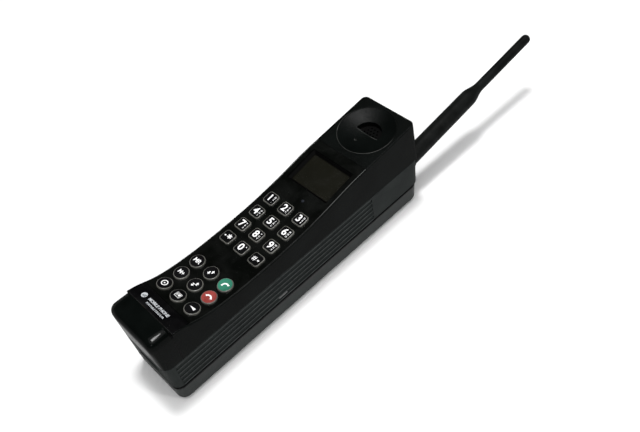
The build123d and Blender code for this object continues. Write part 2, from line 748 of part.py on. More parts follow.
def antenna_whip():
    """The rubber antenna: a thick sleeve, a cone and a thin rod with a round tip."""
    base = ANTENNA_BOSS + SEAL_THICK + 0.1
    rod_end = ANTENNA_LENGTH - ROD_RADIUS
    shoulder = (SLEEVE_RADIUS - 0.2, SLEEVE_LENGTH)
    cone_end = SLEEVE_LENGTH + CONE_LENGTH
    lines = [Line((0, base), (SLEEVE_RADIUS, base)), Line((SLEEVE_RADIUS, base), shoulder)]
    lines += [Spline(shoulder, (ROD_RADIUS, cone_end), tangents=[(0, 1), (0, 1)])]
    lines += [Line((ROD_RADIUS, cone_end), (ROD_RADIUS, rod_end))]
    lines += [CenterArc((0, rod_end), ROD_RADIUS, 0, 90), Line((0, ANTENNA_LENGTH), (0, base))]
    whip = revolve(Plane.XZ * make_face(lines), Axis.Z)
    whip -= Pos(0, 0, base + 2.9) * Cylinder(STUD_RADIUS, 6.0)
    return antenna_place(0) * whip


def antenna_stud():
    """The antenna's stud, which screws into the socket."""
    length = STUD_LENGTH + ANTENNA_BOSS + SEAL_THICK + 6.0
    return antenna_place(-STUD_LENGTH) * Pos(0, 0, length / 2) * Cylinder(STUD_RADIUS, length)


def housing_screws():
    """Four long screws from the back through both housings."""
    screws = []
    for side in (-1, 1):
        for y in SCREW_ROWS:
            head = post(2.4, 1.3, (side * SCREW_X, y, FLOOR_Z + 0.1))
            head -= block(3.6, 0.6, 0.7, (side * SCREW_X, y, FLOOR_Z))
            screws.append(head + post(1.1, 29.0, (side * SCREW_X, y, FLOOR_Z + 1.4)))
    return screws


def accessory_connector():
    """The socket in the bottom end for a charger or a car kit."""
    width, depth, height = CONNECTOR
    body = block(width, depth, height, (0, LOW_END + depth / 2 + 2.2, CONNECTOR_Z))
    body -= block(width - 2.4, 3.0, height - 2.4, (0, LOW_END + 3.3, CONNECTOR_Z + 1.2))
    for i in range(CONNECTOR_PINS):
        x = (i - (CONNECTOR_PINS - 1) / 2) * 1.7
        body += block(0.9, 2.4, 0.5, (x, LOW_END + 4.0, CONNECTOR_Z + height / 2))
    return body


def save(shape, name):
    """Writes one sub-part's node, or several separate solids as one group."""
    if isinstance(shape, list):
        shape = group(shape)
    export_step(shape, "parts/" + name + ".step")


os.makedirs("parts", exist_ok=True)
for key_name, key_x, key_y, is_square in grid_places():
    save(key(key_x, key_y, is_square), key_name)
MAKERS = [
    front_housing, rear_housing, face_panel, label_plate, keypad_mat, keypad_board,
    display_bezel, display_window, lcd_glass, light_guide, lcd_frame, elastomer_strips, status_led,
    microphone, microphone_boot, earpiece_grille, earpiece_gasket, earpiece_speaker, antenna_socket,
    antenna_seal, antenna_whip, antenna_stud, chassis, logic_board, logic_chips, rf_board, shield_can,
    rf_modules, ringer, battery_case, battery_cover, battery_cells, battery_contacts, battery_latch,
    latch_spring, contact_block, contact_springs, housing_screws, accessory_connector,
]
for maker in MAKERS:
    save(maker(), maker.__name__)
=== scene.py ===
"""Looks for an early mobile brick phone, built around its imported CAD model. Metres throughout."""
import json
import math

import bmesh
import bpy
from mathutils import Matrix, Vector
from mathutils.bvhtree import BVHTree


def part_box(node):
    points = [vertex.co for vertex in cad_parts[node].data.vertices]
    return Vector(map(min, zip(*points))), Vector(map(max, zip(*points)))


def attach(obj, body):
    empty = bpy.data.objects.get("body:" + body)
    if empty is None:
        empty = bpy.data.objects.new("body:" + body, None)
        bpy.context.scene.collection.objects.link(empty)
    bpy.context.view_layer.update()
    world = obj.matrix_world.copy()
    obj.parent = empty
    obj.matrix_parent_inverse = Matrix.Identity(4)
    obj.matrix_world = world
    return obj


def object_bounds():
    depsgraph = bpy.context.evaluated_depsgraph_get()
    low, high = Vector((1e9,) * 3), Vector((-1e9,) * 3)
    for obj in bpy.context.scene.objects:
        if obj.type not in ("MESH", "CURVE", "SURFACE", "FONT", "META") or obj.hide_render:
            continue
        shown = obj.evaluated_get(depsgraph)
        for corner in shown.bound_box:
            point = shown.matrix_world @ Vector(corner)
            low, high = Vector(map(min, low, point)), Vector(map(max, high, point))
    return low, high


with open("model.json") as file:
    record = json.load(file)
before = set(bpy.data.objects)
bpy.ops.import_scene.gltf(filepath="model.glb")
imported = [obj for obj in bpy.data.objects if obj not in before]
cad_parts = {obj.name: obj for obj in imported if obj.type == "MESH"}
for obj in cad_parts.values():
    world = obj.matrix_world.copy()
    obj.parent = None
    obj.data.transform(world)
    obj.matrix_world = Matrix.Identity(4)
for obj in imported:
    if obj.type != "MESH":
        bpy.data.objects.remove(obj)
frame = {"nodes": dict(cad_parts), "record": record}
cad_low, cad_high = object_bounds()

MM = 0.001
BODY = "phone_body"
NODES = frame["nodes"]
AXES = {joint["child"]: Vector(joint["axis"]) for joint in frame["record"]["behaviour"]["joints"]}

# Legends of the keys. The letters stand in a column to the right of each digit.
LETTERS = {
    "1": "QZ.", "2": "ABC", "3": "DEF", "4": "GHI", "5": "JKL", "6": "MNO", "7": "PRS", "8": "TUV",
    "9": "WXY", "0": "+",
}

# Key tops and print, in millimetres
DIGIT_SIZE = 6.5
DIGIT_AT = (-0.75, 0)
LETTER_SIZE = 1.55
LETTER_STEP = 1.75
LETTER_ACROSS = 2.15
INK_THICK = 0.03
INK_SUNK = 0.03
CAP_PLATE = (7.2, 6.9, 1.4)
CAP_PLATE_THICK = 0.16
CAP_SUNK = 0.02
ROUND_PLATE_RADIUS = 4.15

RANGE_SOCKETS = ("From Min", "From Max", "To Min", "To Max")

# Heights and places on the body that the materials follow, in metres
RIB_FIRST = 0.01745
RIB_PITCH = 0.00365
RIB_ENDS = (-0.0945, 0.060)
PANEL_EDGE = 0.0199
# Above this height the battery's top edge is painted dark, as shade in the seam
SEAM_UNDER = 0.0124
CHIN_Y = -0.0875
SHOULDER_FROM = 0.012
SHOULDER_RADIUS = 0.014
END_AT_BACK = -0.0992
END_LEAN = 0.038
EAR_Y = 0.0814
EAR_SLOPE = 0.12
DISH_RADIUS = 0.0185
LIP_UP = -0.0002
LIP_REACH = 0.0078
VENT_ACROSS = -0.0028
VENT_UP = -0.0076
VENT_REACH = 0.0009

# Grain of moulded surfaces, in metres
PLASTIC_GRAIN = 0.00035
PLASTIC_DEPTH = 0.00002
RUBBER_GRAIN = 0.0005
RUBBER_DEPTH = 0.00003

# Camera, as the photograph was taken
CAMERA_AT = Vector((0.2475, -0.1448, 0.3854))
CAMERA_LOOK = Vector((-0.5236, 0.3795, -0.7628))
CAMERA_UP = Vector((-0.4932, 0.5951, 0.6345))
LENS = 42.55
SENSOR = 36.0

# Floor and light: each light has a place, a target, a side in metres and a power in watts
FLOOR_REACH = 1.4
FLOOR_GAP = 0.0002
LIGHTS = {
    "overhead_light": ((0.1, -0.1, 1.7), (0, 0, 0), 1.5, 20),
    "dish_light": ((-0.13, 0.12, 1.65), (0, 0, 0.06), 0.24, 17),
    "edge_light": ((0.72, 0.28, 0.66), (0, 0, 0.05), 0.14, 2.2),
    "key_light": ((0.75, -0.75, 0.9), (0, 0, 0.03), 0.3, 3),
}
# The room's strength by height of view: from, to, strength at the first, strength at the second
WHITE_BAND = (0.03, 0.08, 16.0, 0.0)
GREY_BAND = (0.1, 0.4, 0.8, 0.05)


# ---------------------------------------------------------------- materials

class Nodes:
    """A small helper that builds one material's node tree."""

    def __init__(self, name):
        self.material = bpy.data.materials.new(name)
        self.material.use_nodes = True
        self.tree = self.material.node_tree
        self.shader = self.tree.nodes["Principled BSDF"]
        self.coordinates = self.tree.nodes.new("ShaderNodeTexCoord").outputs["Object"]

    def node(self, kind, **values):
        """A new node with some of its settings."""
        node = self.tree.nodes.new(kind)
        for key, value in values.items():
            setattr(node, key, value)
        return node

    def link(self, source, target):
        """Joins an output to an input."""
        self.tree.links.new(source, target)

    def stretched(self, scale):
        """Object coordinates with a scale for each direction."""
        mapping = self.node("ShaderNodeMapping")
        mapping.inputs["Scale"].default_value = scale
        self.link(self.coordinates, mapping.inputs["Vector"])
        return mapping.outputs["Vector"]

    def noise(self, scale, detail=3.0, roughness=0.5, vector=None, distortion=0.0):
        """Cloudy noise between 0 and 1 in object coordinates."""
        node = self.node("ShaderNodeTexNoise")
        node.inputs["Scale"].default_value = scale
        node.inputs["Detail"].default_value = detail
        node.inputs["Roughness"].default_value = roughness
        node.inputs["Distortion"].default_value = distortion
        self.link(vector or self.coordinates, node.inputs["Vector"])
        return node.outputs["Fac"]

    def spread(self, value, low, high, out_low, out_high):
        """Maps a range of one value to another range, held at its ends."""
        node = self.node("ShaderNodeMapRange")
        for key, number in zip(RANGE_SOCKETS, (low, high, out_low, out_high)):
            node.inputs[key].default_value = number
        self.link(value, node.inputs["Value"])
        return node.outputs["Result"]

    def mix(self, share, first, second):
        """Mixes two colours, each a tuple or a socket."""
        node = self.node("ShaderNodeMix", data_type="RGBA")
        self.link(share, node.inputs["Factor"])
        for key, colour in (("A", first), ("B", second)):
            socket = [s for s in node.inputs if s.name == key and s.type == "RGBA"][0]
            if isinstance(colour, tuple):
                socket.default_value = (*colour, 1.0)
            else:
                self.link(colour, socket)
        return [s for s in node.outputs if s.type == "RGBA"][0]

    def math(self, operation, first, second=0.0):
        """Arithmetic on sockets and plain numbers; the second counts only where there are two."""
        node = self.node("ShaderNodeMath", operation=operation)
        for socket, value in zip(node.inputs, (first, second)):
            if isinstance(value, (int, float)):
                socket.default_value = value
            else:
                self.link(value, socket)
        return node.outputs["Value"]

    def place(self, axis):
        """One object coordinate, in metres in the row frame."""
        node = self.node("ShaderNodeSeparateXYZ")
        self.link(self.coordinates, node.inputs["Vector"])
        return node.outputs[axis]

    def bump(self, height, distance, under=None):
        """Relief of a depth in metres, on top of another relief where one is given."""
        node = self.node("ShaderNodeBump")
        node.inputs["Distance"].default_value = distance
        node.inputs["Strength"].default_value = 1.0
        self.link(height, node.inputs["Height"])
        if under is not None:
            self.link(under, node.inputs["Normal"])
        return node.outputs["Normal"]

    def finish(self, colour, roughness, normal=None, **fixed):
        """Connects the sockets that vary and sets the even ones, then gives the material."""
        self.link(colour, self.shader.inputs["Base Color"])
        self.link(roughness, self.shader.inputs["Roughness"])
        if normal is not None:
            self.link(normal, self.shader.inputs["Normal"])
            self.link(normal, self.shader.inputs["Coat Normal"])
        for key, value in fixed.items():
            self.shader.inputs[key.replace("_", " ")].default_value = value
        return self.material


def moulded_plastic(name, dark, light, rough, wear=0.35, marks=None, **fixed):
    """Moulded plastic: cloudy colour, fine spark-eroded grain, faint scuffs, paler worn edges.

    marks may add colour of its own, as a function of the node tree and the colour so far.
    """
    m = Nodes(name)
    cloud = m.spread(m.noise(60, 5), 0.35, 0.65, 0, 1)
    colour = m.mix(cloud, dark, light)
    edge = m.node("ShaderNodeNewGeometry").outputs["Pointiness"]
    worn = m.spread(edge, 0.52, 0.60, 0, wear)
    patch = m.math("MULTIPLY", worn, m.spread(m.noise(240, 4), 0.35, 0.7, 0.2, 1))
    pale = tuple(min(1.0, c * 4 + 0.03) for c in light)
    colour = m.mix(patch, colour, pale)
    if marks is not None:
        colour = marks(m, colour)
    scuff = m.noise(1, 4, 0.6, m.stretched((900, 140, 900)))
    roughness = m.spread(m.math("ADD", m.math("MULTIPLY", scuff, 0.5), m.math("MULTIPLY", cloud, 0.5)),
                         0.2, 0.8, rough - 0.07, rough + 0.09)
    grains = m.noise(1 / PLASTIC_GRAIN, 2, 0.6)
    normal = m.bump(grains, PLASTIC_DEPTH)
    normal = m.bump(scuff, PLASTIC_DEPTH * 0.6, under=normal)
    return m.finish(colour, roughness, normal, **fixed)


def gloss_plastic(name, base, rough, marks=None, **fixed):
    """Polished plastic with faint smears, dust and hair scratches; marks as for moulded plastic."""
    m = Nodes(name)
    smear = m.spread(m.noise(70, 4, 0.6, distortion=0.6), 0.4, 0.7, 0, 1)
    dust = m.spread(m.noise(2600, 1), 0.76, 0.8, 0, 0.25)
    colour = m.mix(smear, base, tuple(c * 1.5 + 0.002 for c in base))
    colour = m.mix(dust, colour, (0.12, 0.12, 0.115))
    if marks is not None:
        colour = marks(m, colour)
    scratch = m.noise(1, 3, 0.5, m.stretched((3000, 160, 3000)))
    rough_map = m.math("ADD", m.math("MULTIPLY", smear, 0.07), m.math("MULTIPLY", dust, 0.5))
    roughness = m.math("ADD", rough_map, rough)
    wave = m.bump(m.noise(45, 2), 0.00012)
    normal = m.bump(scratch, 0.000004, under=wave)
    return m.finish(colour, roughness, normal, **fixed)


def metal(name, base, rough, stretch=(2500, 120, 2500)):
    """Metal with drawing marks and stains."""
    m = Nodes(name)
    stain = m.spread(m.noise(160, 4), 0.35, 0.7, 0, 1)
    colour = m.mix(stain, base, tuple(c * 0.72 for c in base))
    marks = m.noise(1, 4, 0.6, m.stretched(stretch))
    roughness = m.spread(m.math("ADD", m.math("MULTIPLY", stain, 0.5), m.math("MULTIPLY", marks, 0.5)),
                         0.2, 0.8, rough - 0.08, rough + 0.14)
    return m.finish(colour, roughness, m.bump(marks, 0.00001), Metallic=1.0)


def rubber(name, base, rough=0.5, **fixed):
    """Moulded rubber: soft sheen, mottled, with a faint skin."""
    m = Nodes(name)
    mottle = m.spread(m.noise(110, 5), 0.3, 0.7, 0, 1)
    colour = m.mix(mottle, base, tuple(c * 1.7 + 0.004 for c in base))
    skin = m.noise(1 / RUBBER_GRAIN, 3, 0.6)
    roughness = m.spread(m.noise(400, 3), 0.3, 0.7, rough - 0.08, rough + 0.1)
    return m.finish(colour, roughness, m.bump(skin, RUBBER_DEPTH), **fixed)


def ink(name, base):
    """Printed ink with a slightly broken edge and tone."""
    m = Nodes(name)
    tone = m.spread(m.noise(1500, 3), 0.3, 0.7, 0, 1)
    colour = m.mix(tone, base, tuple(c * 0.86 for c in base))
    return m.finish(colour, m.spread(tone, 0, 1, 0.35, 0.5), m.bump(m.noise(3500, 2), 0.000008))


def clear(name, base, rough, transmission=1.0, **fixed):
    """Clear plastic or glass with smears."""
    m = Nodes(name)
    smear = m.spread(m.noise(120, 4, 0.6, distortion=0.5), 0.4, 0.75, 0, 1)
    colour = m.mix(smear, base, tuple(c * 0.93 for c in base))
    roughness = m.spread(smear, 0, 1, rough, rough + 0.08)
    return m.finish(colour, roughness, m.bump(m.noise(300, 2), 0.000002), IOR=1.49,
                    Transmission_Weight=transmission, **fixed)


def board(name):
    """Circuit board: green mask over copper tracks, with pads."""
    m = Nodes(name)
    track = m.node("ShaderNodeTexBrick")
    track.inputs["Scale"].default_value = 160
    track.inputs["Mortar Size"].default_value = 0.012
    m.link(m.coordinates, track.inputs["Vector"])
    line = m.spread(track.outputs["Fac"], 0.2, 0.8, 0, 1)
    colour = m.mix(line, (0.012, 0.085, 0.035), (0.05, 0.2, 0.08))
    speck = m.spread(m.noise(900, 2), 0.66, 0.7, 0, 1)
    colour = m.mix(speck, colour, (0.55, 0.5, 0.42))
    return m.finish(colour, m.spread(m.noise(500, 2), 0.3, 0.7, 0.25, 0.4), m.bump(line, 0.00004))


def rib_shine(m, colour):
    """Painted highlights on the rib crests of the rear housing, broken into patches."""
    step = m.math("DIVIDE", m.math("SUBTRACT", m.place("Z"), RIB_FIRST + RIB_PITCH / 2), RIB_PITCH)
    crest = m.spread(m.math("PINGPONG", step, 0.5), 0.04, 0.13, 1, 0)
    along = m.place("Y")
    ends = m.math("MULTIPLY", m.spread(along, RIB_ENDS[0], RIB_ENDS[0] + 0.001, 0, 1),
                  m.spread(along, RIB_ENDS[1] - 0.002, RIB_ENDS[1], 1, 0))
    patchy_highlight = m.math("MULTIPLY", ends, m.spread(m.noise(300, 3), 0.3, 0.6, 0.35, 0.9))
    return m.mix(m.math("MULTIPLY", crest, patchy_highlight), colour, (0.045, 0.05, 0.049))


def seam_painted_shade(m, colour):
    """The battery's top edge is painted dark, as shade in the seam."""
    seam_shade = m.spread(m.place("Z"), SEAM_UNDER, SEAM_UNDER + 0.0005, 0, 0.95)
    return m.mix(seam_shade, colour, (0.0015, 0.0015, 0.0015))


def ear_place(m):
    """Coordinates across and up from the middle of the earpiece."""
    up = m.math("MULTIPLY", m.math("SUBTRACT", m.place("Y"), EAR_Y), math.sqrt(1 + EAR_SLOPE ** 2))
    return m.place("X"), up


def rim_painted_highlights(m, colour):
    """Painted highlights on the earpiece's rims: its bead, its opening's straight lip and its vent."""
    across, up = ear_place(m)
    top = m.spread(m.place("Z"), 0.055, 0.058, 0, 1)
    reach = m.math("SQRT", m.math("ADD", m.math("MULTIPLY", across, across), m.math("MULTIPLY", up, up)))
    off_bead = m.math("ABSOLUTE", m.math("SUBTRACT", reach, DISH_RADIUS))
    # The bead's painted highlight fades out towards its far, upper side.
    bead = m.math("MULTIPLY", m.spread(off_bead, 0.0001, 0.00024, 1, 0), m.spread(up, -0.004, 0.009, 1, 0.05))
    off_lip = m.math("ABSOLUTE", m.math("ADD", up, -LIP_UP))
    lip = m.math("MULTIPLY", m.spread(off_lip, 0.0001, 0.00022, 1, 0),
                 m.spread(m.math("ABSOLUTE", across), LIP_REACH, LIP_REACH + 0.001, 1, 0))
    off_vent = m.math("ADD", m.math("ABSOLUTE", m.math("ADD", across, -VENT_ACROSS)),
                      m.math("ABSOLUTE", m.math("ADD", up, -VENT_UP)))
    vent = m.spread(off_vent, VENT_REACH, VENT_REACH + 0.0002, 1, 0)
    patchy_highlight = m.spread(m.noise(150, 3), 0.35, 0.6, 0.2, 1)
    rim_highlight = m.math("MULTIPLY", m.math("MAXIMUM", m.math("MAXIMUM", bead, lip), vent), patchy_highlight)
    return m.mix(m.math("MULTIPLY", rim_highlight, top), colour, (0.046, 0.047, 0.044))


def panel_edge_highlight(m, colour):
    """A painted highlight along the panel's side edges; the upper part is painted brighter, as it catches
    more light.
    """
    side = m.spread(m.math("ABSOLUTE", m.place("X")), PANEL_EDGE, PANEL_EDGE + 0.0002, 0, 1)
    bright = m.spread(m.place("Y"), 0.012, 0.03, 0.12, 1)
    return m.mix(m.math("MULTIPLY", side, bright), colour, (0.13, 0.135, 0.13))


def glue_line(m, colour):
    """A thin uneven line of dust and old glue along the strip's lower edge."""
    low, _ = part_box("label_plate")
    share = m.spread(m.place("Y"), low[1] + 0.0001, low[1] + 0.0003, 0.7, 0)
    patchy = m.math("MULTIPLY", share, m.spread(m.noise(220, 3), 0.3, 0.65, 0.15, 1))
    glue = m.mix(m.spread(m.noise(90, 2), 0.45, 0.55, 0, 1), (0.035, 0.036, 0.034), (0.04, 0.034, 0.02))
    return m.mix(patchy, colour, glue)


def chin_shoulders(m):
    """A relief in metres that lets the chin's shading fall away softly towards both sides."""
    reach = m.math("MAXIMUM", m.math("SUBTRACT", m.math("ABSOLUTE", m.place("X")), SHOULDER_FROM), 0)
    fall = m.math("MULTIPLY", m.math("MULTIPLY", reach, reach), -1 / (2 * SHOULDER_RADIUS))
    return m.math("MULTIPLY", fall, m.spread(m.place("Y"), CHIN_Y - 0.0012, CHIN_Y - 0.0002, 1, 0))


def front_plastic():
    """The front shell: grained, but polished by handling on the chin and shinier on the bottom end."""
    m = Nodes("housing_black")
    cloud = m.spread(m.noise(60, 5), 0.35, 0.65, 0, 1)
    # The earpiece's rims carry painted highlights.
    colour = rim_painted_highlights(m, m.mix(cloud, (0.0016, 0.0021, 0.0019), (0.0028, 0.0036, 0.0033)))
    polished = m.spread(m.place("Y"), CHIN_Y - 0.0005, CHIN_Y + 0.0015, 1, 0)
    sheen = m.spread(polished, 0, 1, 0.3, 0.09)
    m.link(sheen, m.shader.inputs["Coat Roughness"])
    from_end = m.math("ADD", m.place("Y"), m.math("MULTIPLY", m.place("Z"), END_LEAN))
    lowest = m.math("MULTIPLY", m.spread(from_end, END_AT_BACK + 0.0002, END_AT_BACK + 0.0012, 1, 0),
                    m.spread(m.place("Z"), 0.048, 0.054, 1, 0))
    m.link(m.spread(lowest, 0, 1, 0.09, 0.34), m.shader.inputs["Coat Weight"])
    grain = m.math("MULTIPLY", m.noise(1700, 2, 0.6), m.spread(polished, 0, 1, 1, 0.02))
    hairs = m.noise(1, 4, 0.6, m.stretched((900, 140, 900)))
    scuff = m.math("MULTIPLY", hairs, m.spread(polished, 0, 1, 1, 0.2))
    normal = m.bump(scuff, 0.000012, under=m.bump(grain, 0.00012))
    normal = m.bump(chin_shoulders(m), 1.0, under=normal)
    return m.finish(colour, m.spread(cloud, 0, 1, 0.45, 0.6), normal, Specular_IOR_Level=0.0)


housing = front_plastic()
# The rear housing's rib crests carry painted highlights.
rear_black = moulded_plastic("rear_black", (0.0105, 0.0130, 0.0127), (0.0150, 0.0182, 0.0175), 0.5,
                             marks=rib_shine, Specular_IOR_Level=0.0, Coat_Weight=0.14, Coat_Roughness=0.25)
# The battery's top edge carries painted shade from the seam.
battery_black = moulded_plastic("battery_black", (0.016, 0.0185, 0.018), (0.024, 0.0275, 0.0265), 0.5,
                                marks=seam_painted_shade, Specular_IOR_Level=0.15)
# The panel's side edges carry a painted highlight.
overlay = gloss_plastic("panel_gloss", (0.0016, 0.0019, 0.0016), 0.1, marks=panel_edge_highlight, Specular_IOR_Level=0.3)
label_black = gloss_plastic("label_gloss", (0.0018, 0.0018, 0.002), 0.16, marks=glue_line,
                            Specular_IOR_Level=0.3)
key_body = gloss_plastic("key_grey", (0.08, 0.079, 0.071), 0.22, Subsurface_Weight=0.2,
                         Subsurface_Radius=(0.0006, 0.0006, 0.0005), Specular_IOR_Level=0.3)
cap_black = gloss_plastic("key_top_black", (0.0026, 0.0026, 0.0029), 0.16, Specular_IOR_Level=0.3)
cap_green = gloss_plastic("key_top_green", (0.02, 0.125, 0.08), 0.25, Specular_IOR_Level=0.25)
cap_red = gloss_plastic("key_top_red", (0.2, 0.034, 0.03), 0.25, Specular_IOR_Level=0.25)
white_ink = ink("ink_white", (0.9, 0.9, 0.9))
grey_ink = ink("ink_grey", (0.5, 0.52, 0.54))
matt_black = moulded_plastic("bezel_black", (0.0005, 0.0005, 0.0005), (0.0009, 0.0009, 0.0009), 0.6, wear=0.0,
                             Specular_IOR_Level=0.04)
catch_black = moulded_plastic("catch_black", (0.006, 0.0065, 0.0065), (0.01, 0.011, 0.011), 0.25, wear=0.3)
window_clear = clear("window_clear", (0.02, 0.02, 0.016), 0.16, 0.0, Alpha=0.1, Specular_IOR_Level=0.2)
guide_clear = clear("guide_clear", (0.85, 0.92, 0.8), 0.3)
lamp_clear = gloss_plastic("lamp_lens", (0.012, 0.014, 0.018), 0.15, Coat_Weight=0.3)
soft_black = rubber("rubber_black", (0.006, 0.006, 0.006))
antenna_black = rubber("antenna_rubber", (0.0018, 0.0022, 0.002), 0.5, Specular_IOR_Level=0.05)
strip_grey = rubber("rubber_grey", (0.05, 0.05, 0.055))
silicone = rubber("silicone_milky", (0.45, 0.46, 0.44), 0.45)
white_plastic = moulded_plastic("holder_white", (0.6, 0.6, 0.56), (0.7, 0.7, 0.66), 0.5, wear=0.0)
chip_black = moulded_plastic("chip_black", (0.01, 0.01, 0.01), (0.02, 0.02, 0.02), 0.55, wear=0.1)
green_board = board("board_green")
brass = metal("brass_turned", (0.72, 0.5, 0.22), 0.25)
gold = metal("contact_gold", (0.85, 0.62, 0.25), 0.2)
steel = metal("steel_bright", (0.55, 0.55, 0.56), 0.28)
tin = metal("tinned_steel", (0.62, 0.62, 0.6), 0.35)
cast = metal("cast_metal", (0.5, 0.5, 0.52), 0.5, (700, 700, 700))
sleeve = gloss_plastic("cell_sleeve", (0.03, 0.1, 0.2), 0.25)


def display_material():
    """The switched-off display: dark olive, slightly cloudy."""
    m = Nodes("display_olive")
    cloud = m.spread(m.noise(80, 3), 0.35, 0.65, 0, 1)
    colour = m.mix(cloud, (0.0038, 0.0037, 0.0018), (0.005, 0.0048, 0.0025))
    return m.finish(colour, m.spread(m.noise(150, 3), 0.3, 0.7, 0.14, 0.24), m.bump(m.noise(60, 2), 0.00005),
                    Specular_IOR_Level=0.2)


display = display_material()

FINISHES = {
    housing: ["front_housing"],
    rear_black: ["rear_housing"],
    battery_black: ["battery_case", "battery_cover"],
    overlay: ["face_panel"],
    label_black: ["label_plate"],
    matt_black: ["display_bezel", "earpiece_grille", "earpiece_speaker", "contact_block",
                 "accessory_connector"],
    catch_black: ["battery_latch"],
    window_clear: ["display_window"],
    guide_clear: ["light_guide"],
    display: ["lcd_glass"],
    lamp_clear: ["status_led"],
    soft_black: ["microphone_boot", "antenna_seal", "earpiece_gasket"],
    antenna_black: ["antenna_whip"],
    strip_grey: ["elastomer_strips"],
    silicone: ["keypad_mat"],
    white_plastic: ["lcd_frame"],
    chip_black: ["logic_chips", "ringer"],
    green_board: ["keypad_board", "logic_board", "rf_board"],
    brass: ["antenna_socket", "antenna_stud"],
    gold: ["battery_contacts", "contact_springs"],
    steel: ["latch_spring", "housing_screws", "microphone"],
    tin: ["shield_can", "rf_modules"],
    cast: ["chassis"],
    sleeve: ["battery_cells"],
}
for finish, names in FINISHES.items():
    for name in names:
        NODES[name].data.materials.clear()
        NODES[name].data.materials.append(finish)


# ---------------------------------------------------------------- flat shapes for legends

def add_piece(name, mesh, material, body):
    """Adds one mesh, in metres in the row frame, as a piece that rides on a body."""
    piece = bpy.data.objects.new(name, mesh)
    bpy.context.scene.collection.objects.link(piece)
    mesh.materials.clear()
    mesh.materials.append(material)
    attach(piece, body)


def mesh_of(curve):
    """The mesh of a curve or text datablock, in millimetres."""
    holder = bpy.data.objects.new("scratch", curve)
    bpy.context.scene.collection.objects.link(holder)
    bpy.context.view_layer.update()
    graph = bpy.context.evaluated_depsgraph_get()
    mesh = bpy.data.meshes.new_from_object(holder.evaluated_get(graph))
    bpy.data.objects.remove(holder)
    return mesh


def letters(text, size, at, bold, spacing=1.0):
    """Text centred on a place, its strokes thickened by bold on each side."""
    curve = bpy.data.curves.new("scratch", "FONT")
    curve.body = text
    curve.size = size
    curve.align_x = "CENTER"
    curve.align_y = "CENTER"
    curve.offset = bold
    curve.space_character = spacing
    curve.extrude = INK_THICK / 2
    curve.resolution_u = 4
    mesh = mesh_of(curve)
    mesh.transform(Matrix.Translation((at[0], at[1], 0)))
    return mesh


def outline(loops, thick=INK_THICK):
    """A flat filled shape from closed loops; a loop inside another is a hole."""
    curve = bpy.data.curves.new("scratch", "CURVE")
    curve.dimensions = "2D"
    curve.fill_mode = "BOTH"
    curve.extrude = thick / 2
    for loop in loops:
        spline = curve.splines.new("POLY")
        spline.points.add(len(loop) - 1)
        for point, (x, y) in zip(spline.points, loop):
            point.co = (x, y, 0, 1)
        spline.use_cyclic_u = True
    return mesh_of(curve)


def arc(radius, start, end, at=(0, 0), count=24):
    """Points along an arc, in degrees."""
    steps = [math.radians(start + (end - start) * i / count) for i in range(count + 1)]
    return [(at[0] + radius * math.cos(a), at[1] + radius * math.sin(a)) for a in steps]


def circle(radius, at=(0, 0), count=40):
    """A closed loop of points round a circle."""
    return arc(radius, 0, 360, at, count)[:-1]


def rectangle(width, height, at=(0, 0)):
    """A rectangle's corners, centred on a place."""
    x, y = at
    return [(x - width / 2, y - height / 2), (x + width / 2, y - height / 2),
            (x + width / 2, y + height / 2), (x - width / 2, y + height / 2)]


def round_rectangle(width, height, radius):
    """A rectangle with rounded corners, centred on the origin."""
    points = []
    for sign_x, sign_y, start in ((1, 1, 0), (-1, 1, 90), (-1, -1, 180), (1, -1, 270)):
        centre = (sign_x * (width / 2 - radius), sign_y * (height / 2 - radius))
        points += arc(radius, start, start + 90, centre, 8)
    return points


def turned(loop, degrees, at):
    """A loop turned about the origin, then moved to a place."""
    c, s = math.cos(math.radians(degrees)), math.sin(math.radians(degrees))
    return [(at[0] + x * c - y * s, at[1] + x * s + y * c) for x, y in loop]


def joined(name, meshes):
    """One mesh out of several."""
    whole = bmesh.new()
    for mesh in meshes:
        whole.from_mesh(mesh)
        bpy.data.meshes.remove(mesh)
    bmesh.ops.remove_doubles(whole, verts=whole.verts, dist=1e-5)
    out = bpy.data.meshes.new(name)
    whole.to_mesh(out)
    whole.free()
    return out


# ---------------------------------------------------------------- signs on the round keys

def arrow(at, degrees, size):
    """A short wide arrow that points up before it is turned."""
    loop = [(-0.32, -0.9), (0.32, -0.9), (0.32, 0.0), (0.85, 0.0), (0.0, 0.95), (-0.85, 0.0), (-0.32, 0.0)]
    return turned([(x * size, y * size) for x, y in loop], degrees, at)


def handset(degrees, at, size):
    """A plain telephone handset: a curved grip with two blocks."""
    outer = arc(2.2, 35, 145, (0, -1.35), 14)
    inner = arc(1.35, 140, 40, (0, -1.35), 14)
    left_block = [(-2.5, -0.55), (-1.35, -1.15)]
    right_block = [(1.35, -1.15), (2.5, -0.55)]
    loop = outer + left_block + inner + right_block
    return turned([(x * size, y * size) for x, y in loop], degrees, at)


def sign_power():
    """A ring round a small block."""
    ring = [circle(2.05), circle(1.5)]
    return outline(ring + [rectangle(0.9, 0.75)])


def sign_message():
    """A frame with two lines and a tag in it."""
    frame_loops = [rectangle(4.0, 3.0), rectangle(3.5, 2.5)]
    return outline(frame_loops + [rectangle(1.1, 0.35, (-0.9, -0.2)), rectangle(1.1, 0.35, (-0.9, 0.5)),
                                  [(0.0, 0.9), (1.4, 0.9), (1.4, -0.1), (0.7, -0.7), (0.0, -0.1)]])


def sign_volume():
    """A wedge that grows to the right."""
    return outline([[(-2.2, 0.25), (2.1, 0.95), (2.1, -0.75)]])


def sign_arrows(gap):
    """One arrow up and one arrow down, each off the middle by a gap."""
    return outline([arrow((0.85, gap), 0, 1.2), arrow((-0.85, -gap), 180, 1.2)])


